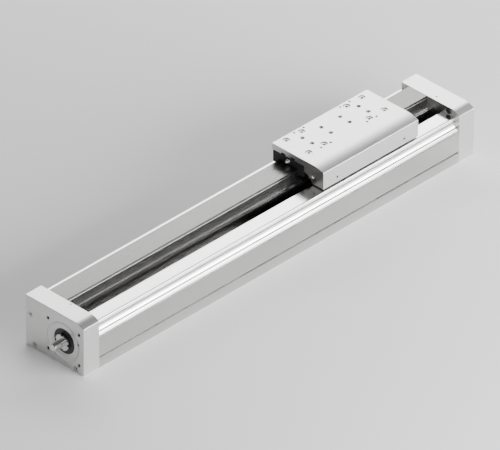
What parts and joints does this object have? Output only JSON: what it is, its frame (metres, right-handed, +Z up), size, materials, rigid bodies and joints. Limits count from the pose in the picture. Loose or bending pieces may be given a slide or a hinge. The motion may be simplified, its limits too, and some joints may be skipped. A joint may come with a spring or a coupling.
{
  "type": "ball screw linear axis",
  "caption": "Ball screw linear axis: aluminium profile with end caps, guide rail, slide on ball carriages, and a spindle with a plain drive journal for a motor.",
  "frame": {"origin": "centre of the mounting face under the profile, midway between the ends of the profile", "axes": "+X along the axis from the drive end to the far end, +Z up through the slide's top; the spindle and the curved shoulder lie on the -Y side"},
  "size_m": [0.8465, 0.12, 0.1115],
  "materials": {
    "anodised_body": "clear anodised, drawn lengthways, satin",
    "anodised_caps": "clear anodised, fine blasted, satin",
    "anodised_slide": "clear anodised, milled, satin",
    "ground_steel": "ground",
    "bearing_steel": "polished",
    "carriage_steel": "ground",
    "screw_steel": "plain, slightly oiled",
    "dark_steel": "black oxide",
    "plated_steel": "zinc plated",
    "buffer_rubber": "matte",
    "black_plastic": "moulded, matte",
    "seal_rubber": "matte",
    "wiper_plastic": "moulded",
    "machined_aluminium": "milled"
  },
  "bodies": {
    "base": {"profile": "anodised_body", "guide_rail": "ground_steel", "rail_screws": "screw_steel", "drive_end_cap": "anodised_caps", "far_end_cap": "anodised_caps", "drive_cap_screws": "screw_steel", "far_cap_screws": "screw_steel", "drive_buffer": "buffer_rubber", "far_buffer": "buffer_rubber", "fixed_bearing_outer_ring": "bearing_steel", "floating_bearing_outer_ring": "bearing_steel", "lock_ring": "dark_steel"},
    "carriage": {"slide_plate": "anodised_slide", "slide_screws": "screw_steel", "slide_end_screws": "screw_steel", "lube_plugs": "dark_steel", "drive_carriage_block": "carriage_steel", "far_carriage_block": "carriage_steel", "carriage_end_caps": "black_plastic", "carriage_end_seals": "seal_rubber", "carriage_balls": "bearing_steel", "grease_nipples": "plated_steel", "ball_nut": "ground_steel", "nut_wipers": "wiper_plastic", "nut_screws": "screw_steel", "nut_bracket": "machined_aluminium", "bracket_screws": "screw_steel"},
    "screw": {"ball_screw": "ground_steel", "lock_nut": "ground_steel", "circlip": "dark_steel", "fixed_bearing_inner_ring": "bearing_steel", "floating_bearing_inner_ring": "bearing_steel"},
    "fixed_cage": {"fixed_bearing_balls": "bearing_steel", "fixed_bearing_cage": "wiper_plastic"},
    "floating_cage": {"floating_bearing_balls": "bearing_steel", "floating_bearing_cage": "wiper_plastic"}
  },
  "joints": [
    {"name": "carriage_slide", "type": "slide", "parent": "base", "child": "carriage", "axis": [1, 0, 0], "range_m": [-0.452, 0.048]},
    {"name": "screw_turn", "type": "hinge", "parent": "base", "child": "screw", "pos_m": [0, -0.018, 0.0415], "axis": [1, 0, 0], "range_deg": [-1730, 16274]},
    {"name": "fixed_cage_turn", "type": "hinge", "parent": "base", "child": "fixed_cage", "pos_m": [0, -0.018, 0.0415], "axis": [1, 0, 0], "range_deg": [-684, 6425]},
    {"name": "floating_cage_turn", "type": "hinge", "parent": "base", "child": "floating_cage", "pos_m": [0, -0.018, 0.0415], "axis": [1, 0, 0], "range_deg": [-630, 5919]}
  ],
  "couplings": [
    {"joint": "screw_turn", "follows": "carriage_slide", "rad_per_m": -628.32},
    {"joint": "fixed_cage_turn", "follows": "carriage_slide", "rad_per_m": -248.02},
    {"joint": "floating_cage_turn", "follows": "carriage_slide", "rad_per_m": -228.48}
  ]
}
